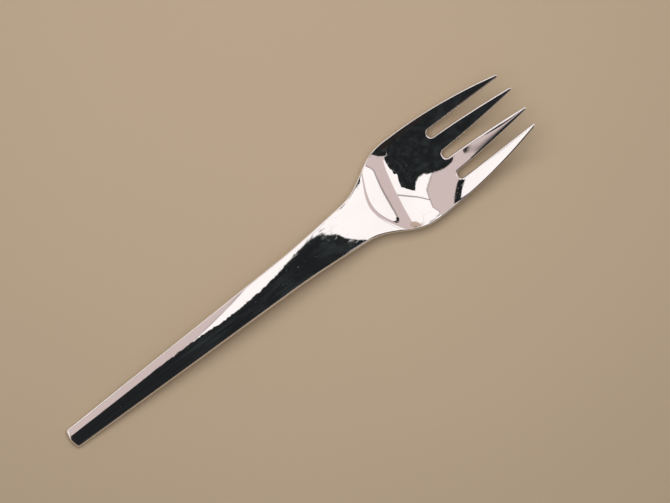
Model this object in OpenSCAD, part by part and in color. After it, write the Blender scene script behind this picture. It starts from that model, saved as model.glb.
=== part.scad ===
// Dessert fork with four tines, forged from one piece of polished steel.
// The fork lies as on a table: +X runs from the handle to the tines, +Y to the left of the tines
// and +Z up, out of the bowl. The origin is below the middle of its length, on the table.

/* [Overall] */
// Length in plan, from the end of the handle to the inner tine tips
fork_l = 170; // [160:1:200]

/* [Handle] */
// Width at the end of the handle
handle_end_w = 6.5; // [5:0.1:8]
// Width that the straight taper of the handle would reach at the head
shank_w = 11.9; // [9:0.1:13]
// Radius of the two corners of the handle end, in plan
end_corner_r = 1.5; // [0.8:0.1:2.2]
// Distance by which the ends of the bowed handle end lie behind its middle
end_bow = 0.6; // [0.2:0.1:1]
// Thickness at the end of the handle
handle_end_t = 2.3; // [1.8:0.1:3]
// Length over which the end of the handle is rounded off, seen from the side
end_round_l = 1.1; // [0.6:0.1:1.6]
// Height of the crown across the top of the handle
handle_crown_h = 0.5; // [0.2:0.05:0.8]
// Height of the belly across the underside of the handle
handle_belly_h = 0.3; // [0.1:0.05:0.5]
// Width of the rounding along the edges of the handle
handle_edge_w = 0.6; // [0.4:0.1:1]

/* [Neck] */
// Extra width that the neck gains ahead of the shoulders
neck_swell_w = 4.6; // [3:0.1:6]
// Length from the start of the swelling neck to the widest place of the head
neck_l = 48; // [36:1:58]
// Length of the shoulders, back from the widest place of the head
shoulder_l = 23; // [16:1:30]
// Thickness of the neck at the rear rim of the bowl, the thickest place of the fork
neck_t = 3.9; // [3.4:0.1:4.4]
// Distance of the place where the crown of the handle starts to fade, back from the tips
crown_back = 90; // [84:1:96]
// Distance of the place where that crown has faded out, back from the tips
flat_back = 58; // [56:1:66]
// Distance of the place where the top of the neck starts to hollow, back from the tips
hollow_back = 62; // [58:1:70]
// Share of the dish that the neck already has at the rear rim of the bowl
neck_dish = 0.5; // [0.3:0.05:0.7]
// Distance of the place where the underside starts to turn into the back of the bowl, back from the tips
belly_back = 72; // [66:1:80]

/* [Head] */
// Width of the head at its widest place
head_w = 29.1; // [26:0.1:34]
// Length from the widest place of the head to the inner tine tips
head_l = 40; // [36:1:46]
// Thickness of the bowl where it is scooped out most
bowl_t = 1.6; // [1.4:0.1:2.4]
// Distance of the rear rim of the bowl, at its middle, back from the tips
rim_back = 54.5; // [52:0.5:58]
// Distance by which the ends of that rim lie ahead of its middle
rim_sweep = 4.6; // [2:0.1:7]
// Length of the scoop ahead of that rim
scoop_l = 16; // [13:0.5:18]
// Length ahead of that rim over which the bowl gains the rest of its dish
dish_l = 12; // [9:0.5:15]
// Radius of the dish across the bowl and the tines
dish_r = 32; // [28:1:70]

/* [Tines] */
// Length of the tines, from the roots of the slots to the inner tips
tine_l = 28.2; // [25:0.1:32]
// Width of the three slots at their round roots
slot_w = 2.6; // [2.2:0.1:3.4]
// Distance between the centres of the two inner tips
inner_tip_pitch = 7.3; // [6:0.1:8.4]
// Width over the two outer tips
tip_span = 18.8; // [17:0.1:21]
// Width of each tine just behind its round tip
tine_tip_w = 1.0; // [0.7:0.1:1.4]
// Thickness of the tines at their tips
tine_tip_t = 1.2; // [0.9:0.1:1.6]
// Share of its thickness that a tine loses from its middle to its edges, near the tip
tine_crown = 0.17; // [0.05:0.01:0.25]
// Distance by which the outer tips stand back from the inner ones
outer_setback = 1.0; // [0.2:0.1:2]
// Width of the rounding along the edges of the head and the tines
tine_edge_w = 0.5; // [0.3:0.05:0.7]

/* [Side profile] */
// Height of the underside of the arch above the table, where arch_back says
arch_h = 5.3; // [4.5:0.1:7]
// Distance of that place of the arch, back from the tips
arch_back = 90; // [80:1:100]
// Height of the underside of the inner tips above the table
tip_h = 12.7; // [11:0.1:15]
// Distance of the heel of the bowl, where it rests, back from the tips
heel_back = 42; // [40.5:0.5:44]
// Length of the bend over the handle and the neck
neck_bend_l = 100; // [92:1:108]
// Distance of the end of that bend, back from the tips
neck_bend_back = 39.5; // [36:0.5:43]
// Length of the bend through the bowl
bowl_bend_l = 36; // [32:1:43]
// Distance of the end of that bend, back from the tips
bowl_bend_back = 24.5; // [20:0.5:29]
// Depth to which wear has flattened the two places that rest on the table
rest_wear = 0.1; // [0.05:0.01:0.15]

/* [Facets] */
// Number of sections from the handle end to the rear rim of the bowl
handle_rows = 26; // [20:1:34]
// Number of sections through the bowl
bowl_rows = 11; // [8:1:16]
// Number of sections along each tine
tine_rows = 10; // [8:1:16]

/* [Hidden] */

// Places along the fork, measured from the end of the handle
wide_at = fork_l - head_l;
root_at = fork_l - tine_l;
heel_at = fork_l - heel_back;
arch_at = fork_l - arch_back;
scoop_at = fork_l - rim_back;
scoop_end = scoop_at + scoop_l;
crown_at = fork_l - crown_back;
flat_at = fork_l - flat_back;
hollow_at = fork_l - hollow_back;
belly_at = fork_l - belly_back;
swell_at = wide_at - neck_l;
shoulder_at = wide_at - shoulder_l;
neck_bend_at = fork_l - neck_bend_back - neck_bend_l;
bowl_bend_at = fork_l - bowl_bend_back - bowl_bend_l;

// Smooth steps from 0 to 1, the second one also smooth in its curvature
function clamp01(t) = min(max(t, 0), 1);
function step3(t) = let (c = clamp01(t)) c * c * (3 - 2 * c);
function step5(t) = let (c = clamp01(t)) c * c * c * (10 - 15 * c + 6 * c * c);

// Rise of a bar that bends smoothly from level to a slope of 1 over the length l from the place at
function bend(u, at, l) =
    let (c = clamp01((u - at) / l))
    l * (c * c * c - c * c * c * c / 2) + max(0, u - at - l);
function bend_slope(u, at, l) = step3((u - at) / l);

// Quarter circle profile of an edge: 0 on the rim and 1 from the width w inwards
function edge_round(d, w) = let (c = 1 - clamp01(d / w)) sqrt(1 - c * c);

// Plan outline: half width of the fork at the place u along its length.
// The straight taper of the handle fades out towards the widest place.
taper_fade = 8;
taper_w = (shank_w - handle_end_w) / 2 * taper_fade / (taper_fade - 1);
shoulder_w = (head_w - shank_w - neck_swell_w) / 2;
function handle_half(u) =
    let (c = u / wide_at)
    handle_end_w / 2 + taper_w * (c - pow(c, taper_fade) / taper_fade)
    + neck_swell_w / 2 * step3((u - swell_at) / neck_l)
    + shoulder_w * step5((u - shoulder_at) / shoulder_l);
function head_half(u) =
    let (c = (u - wide_at) / head_l)
    head_w / 2 - (head_w - tip_span) / 2 * c * c;
function corner_cut(u) = end_corner_r * (1 - edge_round(u, end_corner_r));
function square_half(u) = u < wide_at ? handle_half(u) : head_half(u);
function half_w(u) = square_half(u) - corner_cut(u);

// Side profile: height of the underside along the centre line.
// The slope of the handle and the angles of the two bends let the handle end and the heel touch
// the table and the arch reach its height. A last bend lifts the tines to the height of the tips.
function profile_terms(u) = [
    u - end_round_l,
    -bend(u, neck_bend_at, neck_bend_l),
    bend(u, bowl_bend_at, bowl_bend_l)
];
function profile_slopes(u) = [
    1,
    -bend_slope(u, neck_bend_at, neck_bend_l),
    bend_slope(u, bowl_bend_at, bowl_bend_l)
];
heel_rows = cross(profile_terms(heel_at), profile_slopes(heel_at));
angles = heel_rows * (arch_h / (heel_rows * profile_terms(arch_at)));
tine_lift = (tip_h - profile_terms(fork_l) * angles) / bend(fork_l, heel_at, heel_back);
function underside(u) =
    profile_terms(u) * angles + tine_lift * bend(u, heel_at, heel_back) - rest_wear;

// Thickness along the fork: it grows towards the neck, drops into the scoop and thins to the tips
function thickness(u) =
    u < scoop_at
        ? handle_end_t + (neck_t - handle_end_t) * step3(u / scoop_at)
        : bowl_t + (neck_t - bowl_t) * pow(clamp01((scoop_end - u) / scoop_l), 2)
            + (tine_tip_t - bowl_t) * step3((u - scoop_end) / (fork_l - scoop_end));

// Curvature across the top, from the crowned handle over the hollow neck to the dish. What the dish
// gains ahead of the rear rim of the bowl follows the section row, which bows forward at its sides.
function crown_curve(u, h) = 2 * h / pow(square_half(u), 2);
function crown_left(u) = 1 - step3((u - crown_at) / (flat_at - crown_at));
function hollowed(u, row) =
    neck_dish * step3((u - hollow_at) / (scoop_at + rim_sweep - hollow_at))
    + (1 - neck_dish) * step3((row - scoop_at) / dish_l);
function top_curve(u, row) =
    hollowed(u, row) / dish_r - crown_left(u) * crown_curve(u, handle_crown_h);

// Curvature across the underside, from the belly of the handle to the back of the bowl
function bowl_share(u) = step5((u - belly_at) / (root_at - belly_at));
function belly_curve(u) =
    bowl_share(u) / dish_r + (1 - bowl_share(u)) * crown_curve(u, handle_belly_h);
function edge_w(u) = handle_edge_w + (tine_edge_w - handle_edge_w) * bowl_share(u);

// Plan edges of the tines on the +Y side. Each slot opens from its round root, and the edges beside
// it draw in to the tips, slowly at first.
slot_r = slot_w / 2;
root_half = half_w(root_at);
tine_root_w = (2 * root_half - 3 * slot_w) / 4;
slot_pitch = tine_root_w + slot_w;
draw_power = 1.5;
function slot_open(u) = slot_r * edge_round(u - root_at, slot_r);
function draw_in(from, to, u, end) =
    (to - from) * pow(clamp01((u - root_at) / (end - root_at)), draw_power);

// A tine is [inner edge, outer edge] at the place u. Tine 0 is beside the middle slot, tine 1 outside.
function tine_end(k) = fork_l - k * outer_setback;
function inner_tine(u, end) = [
    slot_open(u) + draw_in(slot_r, (inner_tip_pitch - tine_tip_w) / 2, u, end),
    slot_pitch - slot_open(u) + draw_in(slot_pitch - slot_r, (inner_tip_pitch + tine_tip_w) / 2, u, end)
];
function outer_tine(u, end) = [
    slot_pitch + slot_open(u) + draw_in(slot_pitch + slot_r, half_w(end) - tine_tip_w, u, end),
    half_w(u)
];

// The round tip of a tine: its edges close on its middle, but for a narrow end
tip_left = 0.2;
function closed(edges, open) =
    let (middle = (edges[0] + edges[1]) / 2)
    [for (edge = edges) middle + (edge - middle) * (tip_left + (1 - tip_left) * open)];
function tine_edges(k, u) =
    let (end = tine_end(k))
    closed(k == 0 ? inner_tine(u, end) : outer_tine(u, end), edge_round(end - u, tine_tip_w));

// Behind the slot roots the fork is whole, and the strip of each tine runs on to the handle end.
// There the sections bow forward at their sides, along with the handle end and the rear rim of the bowl.
slot_share = slot_pitch / root_half;
body_to = root_at - tine_edge_w;
end_bow_l = 8;
function bow(u) =
    end_bow * (1 - step3(u / end_bow_l))
    + rim_sweep * step3((u - swell_at) / (scoop_at - swell_at))
        * (1 - step3((u - scoop_at) / (body_to - scoop_at)));
function body_spot(u, share) =
    let (at = u + bow(u) * share * share)
    [at, share * half_w(at)];

// Width of the rounded rim, at most the largest part of the strip that it lies on
rim_part = 0.6;
function rim_w(u) = min(edge_w(u), rim_part * (1 - slot_share) * half_w(u));
tine_rim_part = 0.4;
function tine_rim_w(edges) = min(tine_edge_w, tine_rim_part * (edges[1] - edges[0]));

// Places across a strip, with one more in the rounding of each edge
rim_step = 0.25;
inside_steps = 4;
function across(edges, first_w, last_w) =
    let (
        from = edges[0] + first_w,
        to = edges[1] - last_w
    )
    concat(
        [edges[0], edges[0] + rim_step * first_w],
        [for (i = [0 : inside_steps]) from + (to - from) * i / inside_steps],
        [edges[1] - rim_step * last_w, edges[1]]
    );

// One section of a strip: points over its plan spots, on the top (side 1) or the underside (side -1).
// full is the share of the thickness that the rounded edges and ends leave at each spot.
function section(row, spots, full, side) = [
    for (i = [0 : len(spots) - 1])
        let (
            u = spots[i][0],
            y = spots[i][1],
            low = underside(u) + belly_curve(u) * y * y / 2,
            high = underside(u) + thickness(row) + top_curve(u, row) * y * y / 2
        )
        [u - fork_l / 2, y, (low + high) / 2 + side * full[i] * (high - low) / 2]
];
function body_section(k, u, side) =
    let (
        slot_rim = tine_edge_w / root_half,
        shares = k == 0
            ? across([0, slot_share], slot_rim, slot_rim)
            : across([slot_share, 1], slot_rim, rim_w(u) / half_w(u)),
        spots = [for (share = shares) body_spot(u, share)],
        end_full = edge_round(u, end_round_l),
        full = [for (spot = spots) end_full * edge_round(half_w(spot[0]) - spot[1], rim_w(u))]
    )
    section(u, spots, full, side);
function tine_section(k, u, side) =
    let (
        edges = tine_edges(k, u),
        rim = tine_rim_w(edges),
        places = across(edges, rim, rim),
        end_full = edge_round(tine_end(k) - u, tine_tip_w),
        crown = tine_crown * step3(2 * (u - root_at) / tine_l),
        middle = (edges[0] + edges[1]) / 2,
        full = [for (y = places)
            end_full * edge_round(min(y - edges[0], edges[1] - y), rim)
            * (1 - crown * pow((y - middle) / (edges[1] - middle), 2))]
    )
    section(u, [for (y = places) [u, y]], full, side);

// Places of the sections: close together at the handle end, the slot roots and the tips, and
// closer at the neck than along the handle
end_steps = [0, 0.05, 0.2, 0.5, 0.85, 1.3];
root_steps = [0, 0.05, 0.2, 0.5, 1];
tip_steps = [1, 0.6, 0.25, 0.06, 0];
crowding = 0.4;
handle_from = end_steps[len(end_steps) - 1] * end_round_l;
body_at = concat(
    [for (s = end_steps) s * end_round_l],
    [for (i = [1 : handle_rows])
        let (c = i / handle_rows)
        handle_from + (scoop_at - handle_from) * (c + crowding * c * (1 - c))],
    [for (i = [1 : bowl_rows]) scoop_at + (body_to - scoop_at) * i / bowl_rows]
);
function tine_at(k) =
    let (
        from = root_at + slot_r,
        to = tine_end(k) - tine_tip_w
    )
    concat(
        [for (s = root_steps) root_at + s * slot_r],
        [for (i = [1 : tine_rows - 1]) from + (to - from) * i / tine_rows],
        [for (s = tip_steps) tine_end(k) - s * tine_tip_w]
    );

// All sections of one strip on one side, from the handle end to the tip
function sheet(k, side) = concat(
    [for (u = body_at) body_section(k, u, side)],
    [for (u = tine_at(k)) tine_section(k, u, side)]
);
function mirrored(rows) = [for (row = rows) [for (p = row) [p[0], -p[1], p[2]]]];

// Triangles over the rows of a sheet, whose points are numbered from first. The diagonals lean so
// that none joins two points of the rim, where the top meets the underside.
function sheet_faces(rows, first, turned) =
    let (n = len(rows[0]))
    [for (i = [0 : len(rows) - 2], j = [0 : n - 2], half = [0, 1])
        let (
            a = first + i * n + j,
            b = a + n,
            leans = (i < len(body_at)) == (2 * j >= n - 1),
            face = leans
                ? (half == 0 ? [a, b, a + 1] : [b, b + 1, a + 1])
                : (half == 0 ? [a, b, b + 1] : [a, b + 1, a + 1])
        )
        turned ? [face[2], face[1], face[0]] : face];

// The forging: a top and an underside for the two tines of each half, closed along the rim
module forging() {
    sheets = [for (k = [0, 1], side = [1, -1], left = [true, false])
        [left ? sheet(k, side) : mirrored(sheet(k, side)), (side == 1) == left]];
    sheet_size = len(sheets[0][0]) * len(sheets[0][0][0]);
    polyhedron(
        points = [for (s = sheets) for (row = s[0]) each row],
        faces = [for (i = [0 : len(sheets) - 1])
            each sheet_faces(sheets[i][0], i * sheet_size, sheets[i][1])]
    );
}

// What the table has worn off the heel and the handle end
module worn_off() {
    translate([-fork_l / 2, -head_w / 2, -neck_t])
        cube([fork_l, head_w, neck_t]);
}

module fork() {
    color("silver")
    difference() {
        forging();
        worn_off();
    }
}

fork();
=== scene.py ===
# Dessert fork: its polished surface, its metal, and the table and studio that it mirrors
import math

import bmesh
import bpy
import numpy as np
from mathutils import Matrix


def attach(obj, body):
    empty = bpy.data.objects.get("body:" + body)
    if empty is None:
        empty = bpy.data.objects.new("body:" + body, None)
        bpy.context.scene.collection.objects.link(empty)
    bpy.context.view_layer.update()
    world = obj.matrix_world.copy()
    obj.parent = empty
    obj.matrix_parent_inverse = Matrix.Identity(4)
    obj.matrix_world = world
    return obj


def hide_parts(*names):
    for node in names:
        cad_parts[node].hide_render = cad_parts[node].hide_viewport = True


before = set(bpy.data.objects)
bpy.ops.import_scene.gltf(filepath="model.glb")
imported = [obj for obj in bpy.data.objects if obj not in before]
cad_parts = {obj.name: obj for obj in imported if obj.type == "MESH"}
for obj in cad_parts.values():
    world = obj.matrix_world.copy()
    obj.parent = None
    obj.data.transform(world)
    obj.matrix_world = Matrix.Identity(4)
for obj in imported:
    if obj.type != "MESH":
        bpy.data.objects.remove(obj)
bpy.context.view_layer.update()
MM = 0.001

# Sizes of the fork in millimetres
FORK_L = 170.0
HANDLE_END_W, SHANK_W, END_CORNER_R = 6.5, 11.9, 1.5
END_BOW, END_BOW_L = 0.6, 8.0
HANDLE_END_T, END_ROUND_L = 2.3, 1.1
HANDLE_CROWN_H, HANDLE_BELLY_H, HANDLE_EDGE_W = 0.5, 0.3, 0.6
NECK_SWELL_W, NECK_L, SHOULDER_L, NECK_T = 4.6, 48.0, 23.0, 3.9
HEAD_W, HEAD_L, BOWL_T = 29.1, 40.0, 1.6
RIM_SWEEP, SCOOP_L, NECK_DISH, DISH_L, DISH_R = 4.6, 16.0, 0.55, 12.0, 32.0
TINE_L, SLOT_W, INNER_TIP_PITCH, TIP_SPAN = 28.2, 2.6, 7.3, 18.8
TINE_TIP_W, TINE_TIP_T, TINE_CROWN, OUTER_SETBACK, TINE_EDGE_W = 1.0, 1.2, 0.17, 1.0, 0.5
ARCH_H, TIP_H, REST_WEAR = 5.3, 12.7, 0.1
NECK_BEND_L, BOWL_BEND_L = 100.0, 36.0

# Distances behind the tips in millimetres
HEEL_BACK, ARCH_BACK, CROWN_BACK, FLAT_BACK, BELLY_BACK = 42.0, 90.0, 90.0, 58.0, 72.0
SCOOP_BACK, HOLLOW_BACK = 54.5, 67.0
NECK_BEND_END_BACK, BOWL_BEND_END_BACK = 39.5, 24.5

# The hollow of the neck is full this far ahead of the rear rim, and the rim's crease is polished round over this width
HOLLOW_AHEAD = 9.0
CREASE_R = 1.2

# Places along u, from the end of the handle to the tips
WIDE_AT = FORK_L - HEAD_L
ROOT_AT = FORK_L - TINE_L
HEEL_AT = FORK_L - HEEL_BACK
ARCH_AT = FORK_L - ARCH_BACK
SCOOP_AT = FORK_L - SCOOP_BACK
SCOOP_END = SCOOP_AT + SCOOP_L
CROWN_AT = FORK_L - CROWN_BACK
FLAT_AT = FORK_L - FLAT_BACK
HOLLOW_AT = FORK_L - HOLLOW_BACK
HOLLOW_TO = SCOOP_AT + HOLLOW_AHEAD
BELLY_AT = FORK_L - BELLY_BACK
SWELL_AT = WIDE_AT - NECK_L
SHOULDER_AT = WIDE_AT - SHOULDER_L
NECK_BEND_AT = FORK_L - NECK_BEND_END_BACK - NECK_BEND_L
BOWL_BEND_AT = FORK_L - BOWL_BEND_END_BACK - BOWL_BEND_L
BODY_TO = ROOT_AT - TINE_EDGE_W


def clamp01(t):
    return np.clip(t, 0.0, 1.0)


def step3(t):
    c = clamp01(t)
    return c * c * (3 - 2 * c)


def step5(t):
    c = clamp01(t)
    return c ** 3 * (10 - 15 * c + 6 * c * c)


def edge_round(d, w):
    c = 1 - clamp01(d / w)
    return np.sqrt(1 - c * c)


def bend(u, at, length):
    c = clamp01((u - at) / length)
    return length * (c ** 3 - c ** 4 / 2) + np.maximum(0, u - at - length)


# Plan outline
def square_half(u):
    c = clamp01(u / WIDE_AT)
    taper = (SHANK_W - HANDLE_END_W) / 2 * 8 / 7 * (c - c ** 8 / 8)
    swell = NECK_SWELL_W / 2 * step3((u - SWELL_AT) / NECK_L)
    shoulder = (HEAD_W - SHANK_W - NECK_SWELL_W) / 2 * step5((u - SHOULDER_AT) / SHOULDER_L)
    head = HEAD_W / 2 - (HEAD_W - TIP_SPAN) / 2 * ((u - WIDE_AT) / HEAD_L) ** 2
    return np.where(u < WIDE_AT, HANDLE_END_W / 2 + taper + swell + shoulder, head)


def half_w(u):
    return square_half(u) - END_CORNER_R * (1 - edge_round(u, END_CORNER_R))


# Side profile: the handle end and the heel touch the table, and the arch and the tips reach their heights
def profile_terms(u):
    u = np.asarray(u, float)
    return np.stack([
        u - END_ROUND_L,
        -bend(u, NECK_BEND_AT, NECK_BEND_L),
        bend(u, BOWL_BEND_AT, BOWL_BEND_L),
    ], -1)


heel_slopes = np.array([
    1,
    -step3((HEEL_AT - NECK_BEND_AT) / NECK_BEND_L),
    step3((HEEL_AT - BOWL_BEND_AT) / BOWL_BEND_L),
])
heel_rows = np.cross(profile_terms(HEEL_AT), heel_slopes)
angles = heel_rows * ARCH_H / (heel_rows @ profile_terms(ARCH_AT))
tine_lift = (TIP_H - profile_terms(FORK_L) @ angles) / bend(FORK_L, HEEL_AT, HEEL_BACK)


def underside(u):
    return profile_terms(u) @ angles + tine_lift * bend(u, HEEL_AT, HEEL_BACK) - REST_WEAR


def thickness(row):
    handle = HANDLE_END_T + (NECK_T - HANDLE_END_T) * step3(row / SCOOP_AT)
    scooped = (
        BOWL_T + (NECK_T - BOWL_T) * clamp01((SCOOP_END - row) / SCOOP_L) ** 2
        + (TINE_TIP_T - BOWL_T) * step3((row - SCOOP_END) / (FORK_L - SCOOP_END))
    )
    crease = 2 * (NECK_T - BOWL_T) / SCOOP_L / (4 * CREASE_R)
    polished = crease * np.maximum(0, CREASE_R - np.abs(row - SCOOP_AT)) ** 2
    return np.where(row < SCOOP_AT, handle, scooped) - polished


# Curvature across the top and the underside
def crown_curve(u, height):
    return 2 * height / square_half(u) ** 2


def top_curve(u, row):
    crown_left = 1 - step3((u - CROWN_AT) / (FLAT_AT - CROWN_AT))
    hollowed = (
        NECK_DISH * step3((u - HOLLOW_AT) / (HOLLOW_TO - HOLLOW_AT))
        + (1 - NECK_DISH) * step3((row - SCOOP_AT) / DISH_L)
    )
    return hollowed / DISH_R - crown_left * crown_curve(u, HANDLE_CROWN_H)


def bowl_share(u):
    return step5((u - BELLY_AT) / (ROOT_AT - BELLY_AT))


def belly_curve(u):
    return bowl_share(u) / DISH_R + (1 - bowl_share(u)) * crown_curve(u, HANDLE_BELLY_H)


# Slots and tines
SLOT_R = SLOT_W / 2
TIP_LEFT = 0.2
DRAW_POWER = 1.5
root_half = float(half_w(ROOT_AT))
slot_pitch = (2 * root_half - 3 * SLOT_W) / 4 + SLOT_W
slot_share = slot_pitch / root_half


def tip_at(k):
    """Tip of an inner tine (0) or an outer tine (1)."""
    return FORK_L - k * OUTER_SETBACK


def slot_open(u):
    return SLOT_R * edge_round(u - ROOT_AT, SLOT_R)


def draw_in(start, end, u, tip):
    return (end - start) * clamp01((u - ROOT_AT) / (tip - ROOT_AT)) ** DRAW_POWER


def tine_edges(k, u):
    tip = tip_at(k)
    if k == 0:
        tip_first = (INNER_TIP_PITCH - TINE_TIP_W) / 2
        tip_last = (INNER_TIP_PITCH + TINE_TIP_W) / 2
        first = slot_open(u) + draw_in(SLOT_R, tip_first, u, tip)
        last = slot_pitch - slot_open(u) + draw_in(slot_pitch - SLOT_R, tip_last, u, tip)
    else:
        tip_first = half_w(tip) - TINE_TIP_W
        first = slot_pitch + slot_open(u) + draw_in(slot_pitch + SLOT_R, tip_first, u, tip)
        last = half_w(u)
    middle = (first + last) / 2
    left = TIP_LEFT + (1 - TIP_LEFT) * edge_round(tip - u, TINE_TIP_W)
    return middle + (first - middle) * left, middle + (last - middle) * left


def bow(u):
    grown = step3((u - SWELL_AT) / (SCOOP_AT - SWELL_AT))
    swept = RIM_SWEEP * grown * (1 - step3((u - SCOOP_AT) / (BODY_TO - SCOOP_AT)))
    return END_BOW * (1 - step3(u / END_BOW_L)) + swept


# Places across a strip, crowded in the rounding of its two edges
RIM_COLUMNS = 8
INSIDE_COLUMNS = 16
closing = 1 - np.cos(np.linspace(0, math.pi / 2, RIM_COLUMNS + 1))


def across(first, last, first_w, last_w):
    inside = np.linspace(0, 1, INSIDE_COLUMNS + 1)[1:-1]
    start, end = first + first_w, last - last_w
    return np.concatenate([
        first + closing * first_w,
        start + inside * (end - start),
        (last - closing * last_w)[::-1],
    ])


# Distance from the edge of a slot: round its root, and straight across the tine ahead of it
def slot_distance(u, beside):
    behind = np.maximum(0, ROOT_AT + SLOT_R - u)
    return np.where(behind > 0, np.hypot(behind, beside + slot_open(u)) - SLOT_R, beside)


# Most of a strip's width that the rounding of an edge may take
BODY_RIM_SHARE = 0.6
TINE_RIM_SHARE = 0.4


def spots(k, u, side):
    """One row of a strip: its points, and their distance from the nearest edge."""
    if u <= ROOT_AT:
        edge_w = HANDLE_EDGE_W + (TINE_EDGE_W - HANDLE_EDGE_W) * bowl_share(u)
        rim = min(edge_w, BODY_RIM_SHARE * (1 - slot_share) * half_w(u))
        slot_rim = TINE_EDGE_W / root_half
        if k == 0:
            share = across(0.0, slot_share, slot_rim, slot_rim)
        else:
            share = across(slot_share, 1.0, slot_rim, rim / half_w(u))
        at = u + bow(u) * share ** 2
        y = share * half_w(at)
        outer = half_w(at) - y
        behind = ROOT_AT + SLOT_R - at
        slots = np.minimum(np.hypot(behind, y), np.hypot(behind, y - slot_pitch)) - SLOT_R
        full = edge_round(u, END_ROUND_L) * np.minimum(edge_round(outer, rim), edge_round(slots, TINE_EDGE_W))
        distance = np.minimum(np.minimum(outer, slots), u)
    else:
        first, last = tine_edges(k, u)
        rim = min(TINE_EDGE_W, TINE_RIM_SHARE * (last - first))
        y = across(first, last, rim, rim)
        at = np.full_like(y, u)
        inner = slot_distance(u, y - first)
        outer = slot_distance(u, last - y) if k == 0 else last - y
        distance = np.minimum(inner, outer)
        crown = TINE_CROWN * step3(2 * (u - ROOT_AT) / TINE_L)
        across_tine = (2 * y - first - last) / (last - first)
        full = edge_round(tip_at(k) - u, TINE_TIP_W) * edge_round(distance, rim) * (1 - crown * across_tine ** 2)
    row = np.full_like(y, u)
    low = underside(at) + belly_curve(at) * y * y / 2
    high = underside(at) + thickness(row) + top_curve(at, row) * y * y / 2
    z = np.maximum(0, (low + high) / 2 + side * full * (high - low) / 2)
    return np.stack([at - FORK_L / 2, y, z], -1), distance


# Rows: crowded at the handle end, the rim of the bowl, the slot roots and the tips
CORNER_ROWS, HANDLE_ROWS, CREASE_ROWS, BOWL_ROWS, TINE_ROWS = 3, 170, 9, 84, 60


def rows_of(k):
    tip = tip_at(k)
    return np.unique(np.concatenate([
        END_ROUND_L * closing,
        np.linspace(END_ROUND_L, END_CORNER_R, CORNER_ROWS),
        np.linspace(END_CORNER_R, SCOOP_AT - CREASE_R, HANDLE_ROWS),
        np.linspace(SCOOP_AT - CREASE_R, SCOOP_AT + CREASE_R, CREASE_ROWS),
        np.linspace(SCOOP_AT + CREASE_R, BODY_TO, BOWL_ROWS),
        ROOT_AT - TINE_EDGE_W * closing,
        ROOT_AT + SLOT_R * closing,
        np.linspace(ROOT_AT + SLOT_R, tip - TINE_TIP_W, TINE_ROWS),
        tip - TINE_TIP_W * closing,
    ]).round(6))


points, edge_near, faces = [], [], []
for k in (0, 1):
    rows = rows_of(k)
    for side in (1, -1):
        strip = [spots(k, u, side) for u in rows]
        columns = len(strip[0][1])
        for hand in (1, -1):
            first = len(points)
            for row, distance in strip:
                points.extend((row * (1, hand, 1)).tolist())
                edge_near.extend(distance.tolist())
            for i in range(len(rows) - 1):
                for j in range(columns - 1):
                    a = first + i * columns + j
                    face = (a, a + columns, a + columns + 1, a + 1)
                    faces.append(face if side == hand else face[::-1])

mesh = bpy.data.meshes.new("polished_fork")
mesh.from_pydata([(x * MM, y * MM, z * MM) for x, y, z in points], [], faces)
RIM_REACH = 1.2
rim_near = mesh.attributes.new("rim", "FLOAT", "POINT")
rim_near.data.foreach_set("value", np.exp(-np.maximum(0, edge_near) / RIM_REACH).astype(np.float32))
fork = bpy.data.objects.new("polished_fork", mesh)
bpy.context.scene.collection.objects.link(fork)

# Join the strips, and drop the faces that close to nothing at the tips and the handle end
JOIN_WITHIN, CLOSED_WITHIN = 1e-7, 1e-8
bm = bmesh.new()
bm.from_mesh(mesh)
bmesh.ops.remove_doubles(bm, verts=bm.verts, dist=JOIN_WITHIN)
bmesh.ops.dissolve_degenerate(bm, edges=bm.edges, dist=CLOSED_WITHIN)
for face in bm.faces:
    face.smooth = True
bm.to_mesh(mesh)
bm.free()
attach(fork, "root")
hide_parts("fork")


# Small helper for node trees
class Nodes:
    def __init__(self, tree):
        self.tree = tree

    def add(self, kind, settings=None, **inputs):
        node = self.tree.nodes.new(kind)
        for name, value in (settings or {}).items():
            setattr(node, name, value)
        for name, value in inputs.items():
            self.put(node.inputs[name.replace("_", " ")], value)
        return node

    def put(self, socket, value):
        if isinstance(value, bpy.types.NodeSocket):
            self.tree.links.new(value, socket)
        else:
            socket.default_value = value

    def math(self, operation, *values):
        node = self.tree.nodes.new("ShaderNodeMath")
        node.operation = operation
        for socket, value in zip(node.inputs, values):
            self.put(socket, value)
        return node.outputs[0]

    def total(self, start, *terms):
        """A start value and any number of weighted values."""
        for value, weight in terms:
            start = self.math("ADD", start, self.math("MULTIPLY", value, weight))
        return start

    def ramp(self, value, low, high, to_low=0.0, to_high=1.0):
        node = self.add("ShaderNodeMapRange", {"interpolation_type": "SMOOTHSTEP"})
        names = ("Value", "From Min", "From Max", "To Min", "To Max")
        for name, number in zip(names, (value, low, high, to_low, to_high)):
            self.put(node.inputs[name], number)
        return node.outputs[0]

    def mix(self, share, a, b):
        node = self.add("ShaderNodeMix", {"data_type": "RGBA"})
        for index, value in ((0, share), (6, a), (7, b)):
            self.put(node.inputs[index], value)
        return node.outputs[2]

    def noise(self, place, scale, stretch=(1.0, 1.0, 1.0), detail=2.0, roughness=0.5):
        mapped = self.add("ShaderNodeMapping", Vector=place, Scale=stretch)
        made = self.add(
            "ShaderNodeTexNoise", Vector=mapped.outputs[0], Scale=scale, Detail=detail, Roughness=roughness)
        return made.outputs["Fac"]


def srgb(r, g, b):
    """Linear colour of a screen colour from 0 to 255."""
    return tuple(((c / 255 + 0.055) / 1.055) ** 2.4 for c in (r, g, b)) + (1.0,)


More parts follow.
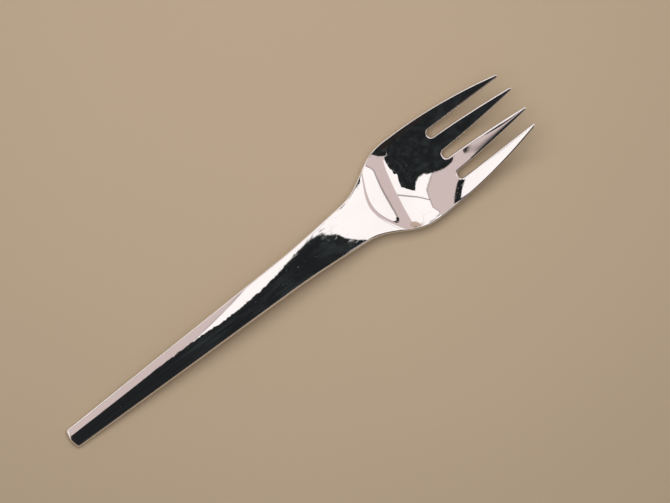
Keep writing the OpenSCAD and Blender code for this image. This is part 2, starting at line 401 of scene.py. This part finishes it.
# Metal: a mirror polish with fine scratches along the fork, fainter ones across, smudges and worn edges
CLEAN, SMUDGED, SCRATCHED = (0.93, 0.92, 0.915, 1.0), (0.90, 0.885, 0.875, 1.0), (0.80, 0.785, 0.77, 1.0)
POLISH_ROUGHNESS = 0.012
metal = bpy.data.materials.new("mirror_polished_metal")
metal.use_nodes = True
n = Nodes(metal.node_tree)
shader = metal.node_tree.nodes["Principled BSDF"]
place = n.add("ShaderNodeTexCoord").outputs["Object"]
long_scratch = n.ramp(n.noise(place, 2600.0, (0.035, 1.0, 1.0), detail=3.0, roughness=0.6), 0.60, 0.72)
cross_scratch = n.ramp(n.noise(place, 1500.0, (1.0, 0.06, 1.0)), 0.66, 0.76)
speck = n.ramp(n.noise(place, 2200.0, (0.6, 1.0, 1.0)), 0.70, 0.78)
smudge = n.ramp(n.noise(place, 70.0, (0.6, 1.0, 1.0), detail=4.0, roughness=0.6), 0.45, 0.75)
worn = n.ramp(n.add("ShaderNodeAttribute", {"attribute_name": "rim"}).outputs["Fac"], 0.55, 1.0)
scratched = n.total(long_scratch, (cross_scratch, 0.6))
rough = n.total(POLISH_ROUGHNESS, (smudge, 0.012), (scratched, 0.05), (worn, 0.06), (speck, 0.30))
tone = n.mix(smudge, CLEAN, SMUDGED)
bump = n.add("ShaderNodeBump", Strength=0.05, Distance=0.00002, Height=scratched)
n.put(shader.inputs["Base Color"], n.mix(n.math("MULTIPLY", scratched, 0.25), tone, SCRATCHED))
n.put(shader.inputs["Roughness"], rough)
n.put(shader.inputs["Normal"], bump.outputs[0])
shader.inputs["Metallic"].default_value = 1.0
mesh.materials.append(metal)

# Table: a plain warm board with a faint grain, in metres
FLOOR_DROP = 0.00005
TABLE_REACH = 3.0
BOARD_DEEP, BOARD_PALE = (0.485, 0.372, 0.262, 1.0), (0.515, 0.398, 0.280, 1.0)
corners = [(x * TABLE_REACH, y * TABLE_REACH, -FLOOR_DROP) for x, y in ((-1, -1), (1, -1), (1, 1), (-1, 1))]
table_mesh = bpy.data.meshes.new("table")
table_mesh.from_pydata(corners, [], [(0, 1, 2, 3)])
table = bpy.data.objects.new("table", table_mesh)
bpy.context.scene.collection.objects.link(table)
board = bpy.data.materials.new("warm_board")
board.use_nodes = True
n = Nodes(board.node_tree)
shader = board.node_tree.nodes["Principled BSDF"]
place = n.add("ShaderNodeTexCoord").outputs["Object"]
mottle = n.math("MULTIPLY", n.noise(place, 9.0, detail=4.0), 0.7)
grain = n.noise(place, 900.0)
n.put(shader.inputs["Base Color"], n.mix(n.total(mottle, (grain, 0.3)), BOARD_DEEP, BOARD_PALE))
shader.inputs["Roughness"].default_value = 0.75
shader.inputs["Specular IOR Level"].default_value = 0.2
table_mesh.materials.append(board)

# Studio that the metal mirrors: white panels and a dark surround, laid out by the direction that is mirrored.
# p is the angle from straight up towards the tines and q the angle towards the right-hand side, in degrees.
world = bpy.data.worlds.new("studio")
bpy.context.scene.world = world
world.use_nodes = True
n = Nodes(world.node_tree)
place = n.add("ShaderNodeTexCoord").outputs["Generated"]
axes = n.add("ShaderNodeSeparateXYZ", Vector=place).outputs
DEGREE = 180 / math.pi
p = n.math("MULTIPLY", n.math("ARCTAN2", axes[0], axes[2]), DEGREE)
q = n.math("MULTIPLY", n.math("ARCTAN2", n.math("MULTIPLY", axes[1], -1.0), axes[2]), DEGREE)


def ragged(p_size, q_size, seed):
    """A ragged strip for the border of the dark surround, from about -0.5 to 0.5, with grains of the given angles."""
    spot = n.add("ShaderNodeCombineXYZ", X=n.math("DIVIDE", p, p_size), Y=n.math("DIVIDE", q, q_size), Z=seed)
    made = n.add("ShaderNodeTexNoise", Vector=spot.outputs[0], Scale=1.0, Detail=3.0, Roughness=0.6)
    return n.math("SUBTRACT", made.outputs["Fac"], 0.5)


def border(angle, corners):
    """A limit in degrees that changes along another angle, straight between the given corners."""
    node = n.add("ShaderNodeFloatCurve", Value=n.math("MULTIPLY_ADD", angle, 1 / 180, 0.5))
    curve = node.mapping.curves[0]
    for x, y in corners:
        curve.points.new(x / 180 + 0.5, y / 180 + 0.5)
    curve.points.remove(curve.points[0])
    curve.points.remove(curve.points[len(curve.points) - 1])
    for point in curve.points:
        point.handle_type = "VECTOR"
    node.mapping.extend = "HORIZONTAL"
    node.mapping.update()
    return n.math("MULTIPLY_ADD", node.outputs[0], 180.0, -90.0)


def past(value, limit, soft):
    """1 where a value is past a limit, with a soft edge of so many degrees."""
    return n.ramp(n.math("SUBTRACT", value, limit), -soft, soft)


def both(*masks):
    result = masks[0]
    for mask in masks[1:]:
        result = n.math("MULTIPLY", result, mask)
    return result


def between(value, low, high, soft):
    return both(past(value, low, soft), past(high, value, soft))


def near(value, limit, reach, soft):
    """1 where a value is within reach of a limit."""
    return past(reach, n.math("ABSOLUTE", n.math("SUBTRACT", value, limit)), soft)


WHITE = srgb(255, 248, 246)
MAUVE = srgb(204, 186, 183)
LINE = srgb(128, 115, 112)
DARK = srgb(30, 31, 32)
SLATE = srgb(45, 49, 50)
BROWN = srgb(42, 36, 33)
TAN = srgb(188, 166, 150)
STRIP = srgb(190, 181, 177)
DIM_STRIP = srgb(118, 112, 109)
DOME = srgb(145, 143, 141)

mauve_limit = border(q, [
    (-60, 30), (-52, 18), (-48, 10), (-46.5, 6), (-45, 4.2), (-43, 3.6), (-41, 4.4), (-39, 4.6), (-37.8, 5.2),
    (-28.8, -0.6), (-26, -1.8), (-19, -5.5), (-15, -8.5), (-12, -11), (-10, -12.5), (-8.5, -13.4), (-5, -15.5),
    (0, -16),
])
wedge_limit = border(q, [(-60, -24), (-47, -15), (-41, -18), (-33, -23), (-22, -33), (-17, -50), (-10, -80)])
bar_low = border(q, [
    (-45, 36), (-33.8, 28.9), (-28.7, 27.7), (-18.6, 26.6), (-8.6, 24.8), (2.7, 23.1), (13.2, 21), (24.4, 18.3),
    (31.2, 15.4), (35, 12.9), (37.3, 11), (40, 9), (60, 8),
])
bar_high = border(q, [
    (-45, 60), (-38.6, 53), (-30.5, 44.5), (-27, 41.1), (-17.8, 37.3), (-5.8, 35.2), (15, 33), (24.5, 30.8),
    (30.5, 28), (33, 30), (36, 34.5), (40, 40),
])
foot_limit = border(p, [
    (8, -85), (12, -38), (15.9, -36.3), (19, -35.7), (21, -34.8), (24, -33.6), (26.9, -33), (30, -33.1),
    (33.3, -33.7), (36, -35), (39.5, -37.4), (44, -85),
])
black_q = border(p, [
    (-60, -13), (-45, -13), (-37, -13.6), (-34, -14.4), (-31.4, -14.4), (-30.6, -13), (-30, -8), (-27.4, -8),
    (-26.5, -11.6), (-25.5, -12.1), (-22, -12.5), (-18.5, -10.8), (-14, -7.6), (-11.5, -5.6), (-10, -3.4), (-7, -3),
    (-4.5, -3.8), (-1.6, -5), (3, -9.2), (5, -11.5), (6.4, -12), (8.5, -10.2), (10.7, -7.5), (12.2, -5.6),
    (14, -3.8), (16, -3),
])
black_p = border(q, [
    (-14, 7), (-10.6, 9.2), (-8.5, 9.9), (-7.5, 10.3), (-6.5, 11.1), (-5.5, 11.9), (-4.5, 12.6), (-3.5, 13.1),
    (-2.5, 13.6), (-1.5, 14.5), (-0.5, 15.2), (0.5, 15.7), (1.5, 15.8), (2.5, 15.2), (3.5, 14.9), (5.5, 14.6),
    (7.5, 14.1), (9.5, 13.4), (11.5, 12.5), (13.5, 11.7), (15.5, 11.4), (16.7, 14), (18.5, 14.2), (20.5, 13.6),
    (22.5, 13.7), (24.5, 14.4), (27.5, 14.4), (29.5, 13.9), (31.5, 13.7), (34.5, 12.7), (36.5, 11.8), (37.5, 11),
    (60, 11),
])

# A mauve screen with a darker edge, beyond it a dark wedge, and white again
EDGE_HALF = 0.9
SCREEN_EDGE_SHARE = 0.55
WEDGE_W = 6.0
in_screen = both(past(mauve_limit, p, soft=0.3), past(1.0, q, soft=1.0))
screen_edge = both(near(mauve_limit, p, EDGE_HALF, soft=0.5), past(-9.0, q, soft=2.0), SCREEN_EDGE_SHARE)
in_wedge = both(past(wedge_limit, p, soft=0.6), past(-8.0, q, soft=1.0))
past_wedge = both(past(n.math("SUBTRACT", wedge_limit, WEDGE_W), p, soft=0.6), past(-24.0, q, soft=1.0))
colour = n.mix(in_screen, WHITE, MAUVE)
colour = n.mix(screen_edge, colour, LINE)
colour = n.mix(in_wedge, colour, DARK)
colour = n.mix(past_wedge, colour, WHITE)

# A mauve bar with a darker rear edge and a dark block on it, a tan foot ahead of the bar with a darker line
BAR_EDGE_SHARE = 0.8
BLOCK_BELOW, BLOCK_ABOVE = 1.0, 2.2
in_bar = between(p, bar_low, bar_high, soft=0.5)
in_foot = past(foot_limit, q, soft=0.4)
foot_line = both(between(p, 13.0, 34.0, soft=1.0), between(q, -40.0, -37.0, soft=0.8))
bar_edge = both(near(p, bar_high, EDGE_HALF, soft=0.6), past(40.0, q, soft=1.0), BAR_EDGE_SHARE)
in_block = both(
    past(n.math("ADD", p, BLOCK_BELOW), bar_high, soft=0.6),
    past(n.math("ADD", bar_high, BLOCK_ABOVE), p, soft=0.6),
    past(-25.5, q, soft=0.6),
    past(q, -32.0, soft=2.0),
)
colour = n.mix(in_bar, colour, MAUVE)
colour = n.mix(in_foot, colour, TAN)
colour = n.mix(foot_line, colour, LINE)
colour = n.mix(bar_edge, colour, LINE)
colour = n.mix(in_block, colour, DARK)

# A thin rod between the white panels, from the bar to the screen
ROD_AT, ROD_HALF, ROD_SHARE = 28.8, 1.2, 0.8
on_rod = near(n.math("SUBTRACT", p, q), ROD_AT, ROD_HALF, soft=0.5)
on_rod = both(on_rod, past(bar_low, p, soft=0.3), past(p, mauve_limit, soft=0.3), ROD_SHARE)
colour = n.mix(on_rod, colour, LINE)

# The dark surround, ragged along its border
ragged_by = n.math("MULTIPLY", n.ramp(p, 4.0, 10.0, 7.0, 2.0), n.ramp(p, -25.0, -18.0, 0.1, 1.0))
rough_q = n.math("MULTIPLY_ADD", ragged(0.45, 9.0, seed=1.0), ragged_by, q)
rough_p = n.math("MULTIPLY_ADD", ragged(0.5, 0.6, seed=5.0), 0.9, p)
border_soft = n.ramp(p, -40.0, -30.0, 4.5, 0.6)
past_black_q = n.ramp(n.math("DIVIDE", n.math("SUBTRACT", rough_q, black_q), border_soft), -1.0, 1.0)
in_dark = both(past_black_q, past(black_p, rough_p, soft=0.15))
surround = n.mix(n.ramp(ragged(5.0, 7.0, seed=9.0), -0.1, 0.25), DARK, SLATE)
colour = n.mix(in_dark, colour, surround)

# Low on the right the studio is dark with a strip of light, and low on the left it is white behind a thin dark edge
strip_light = n.mix(past(p, -15.0, soft=6.0), DIM_STRIP, STRIP)
colour = n.mix(past(q, 44.0, soft=1.5), colour, BROWN)
colour = n.mix(between(q, 57.0, 74.0, soft=2.5), colour, strip_light)
colour = n.mix(past(-48.0, q, soft=1.0), colour, LINE)
colour = n.mix(past(-53.0, q, soft=1.5), colour, WHITE)

# The table is lit by a plain dome
DOME_STRENGTH = 1.08
glossy = n.add("ShaderNodeLightPath").outputs["Is Glossy Ray"]
background = world.node_tree.nodes["Background"]
n.put(background.inputs["Color"], n.mix(glossy, DOME, colour))
background.inputs["Strength"].default_value = DOME_STRENGTH

# One soft light above the left side, for the shadow on the table
lamp_data = bpy.data.lights.new("soft_box", "AREA")
lamp_data.shape = "RECTANGLE"
lamp_data.size, lamp_data.size_y = 0.31, 0.29
lamp_data.energy = 1.08
lamp = bpy.data.objects.new("soft_box", lamp_data)
lamp.location = (0.05, 0.085, 0.36)
lamp.rotation_euler = (-lamp.location).to_track_quat("-Z", "Y").to_euler()
lamp.visible_camera = False
lamp.visible_glossy = False
bpy.context.scene.collection.objects.link(lamp)

# Camera straight above, as in the photograph
camera_data = bpy.data.cameras.new("camera")
camera_data.sensor_width = 36.0
camera_data.lens = 200.0
camera = bpy.data.objects.new("camera", camera_data)
camera.location = (13.36 * MM, -3.19 * MM, 1.128)
camera.rotation_euler = (0, 0, math.radians(-37.39))
bpy.context.scene.collection.objects.link(camera)
bpy.context.scene.camera = camera
bpy.context.scene.view_settings.view_transform = "Standard"
